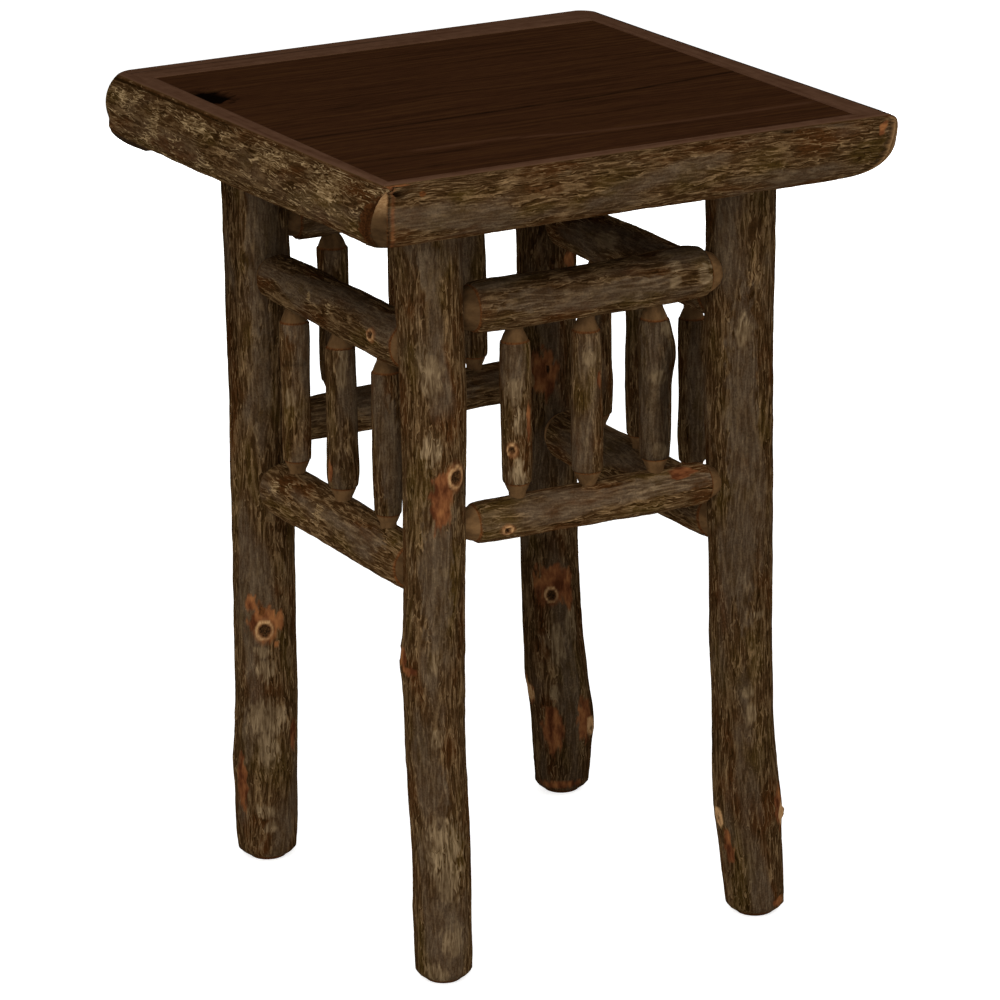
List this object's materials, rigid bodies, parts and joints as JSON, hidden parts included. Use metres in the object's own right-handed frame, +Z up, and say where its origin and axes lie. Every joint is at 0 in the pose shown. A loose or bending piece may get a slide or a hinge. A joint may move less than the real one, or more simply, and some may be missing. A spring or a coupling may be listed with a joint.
{
  "type": "side table",
  "caption": "Square rustic side table of bark-on hickory poles: legs joined by tenoned rails and spindles under a dark plank top edged with mitred half logs.",
  "frame": {"origin": "on the floor under the middle of the whole table", "axes": "+Z up, the front faces -Y, +X to the right seen from the front"},
  "size_m": [0.4436, 0.467, 0.635],
  "materials": {
    "hickory_bark": "bark left on, clear lacquer",
    "stained_boards": "walnut stain, satin lacquer",
    "cleat_board": "planed, unfinished",
    "dowel_rod": "turned, unfinished",
    "screw_steel": "zinc plated"
  },
  "bodies": {
    "root": {"cleat_left": "cleat_board", "cleat_right": "cleat_board", "cleat_screws": "screw_steel", "edge_dowels": "dowel_rod", "edge_log_back": "hickory_bark", "edge_log_front": "hickory_bark", "edge_log_left": "hickory_bark", "edge_log_right": "hickory_bark", "leg_back_left": "hickory_bark", "leg_back_right": "hickory_bark", "leg_front_left": "hickory_bark", "leg_front_right": "hickory_bark", "lower_rail_back": "hickory_bark", "lower_rail_front": "hickory_bark", "lower_rail_left": "hickory_bark", "lower_rail_right": "hickory_bark", "spindle_back_1": "hickory_bark", "spindle_back_2": "hickory_bark", "spindle_back_3": "hickory_bark", "spindle_front_1": "hickory_bark", "spindle_front_2": "hickory_bark", "spindle_front_3": "hickory_bark", "spindle_left_1": "hickory_bark", "spindle_left_2": "hickory_bark", "spindle_left_3": "hickory_bark", "spindle_right_1": "hickory_bark", "spindle_right_2": "hickory_bark", "spindle_right_3": "hickory_bark", "top_board_1": "stained_boards", "top_board_2": "stained_boards", "top_board_3": "stained_boards", "top_board_4": "stained_boards", "top_board_5": "stained_boards", "upper_rail_back": "hickory_bark", "upper_rail_front": "hickory_bark", "upper_rail_left": "hickory_bark", "upper_rail_right": "hickory_bark"}
  },
  "joints": []
}
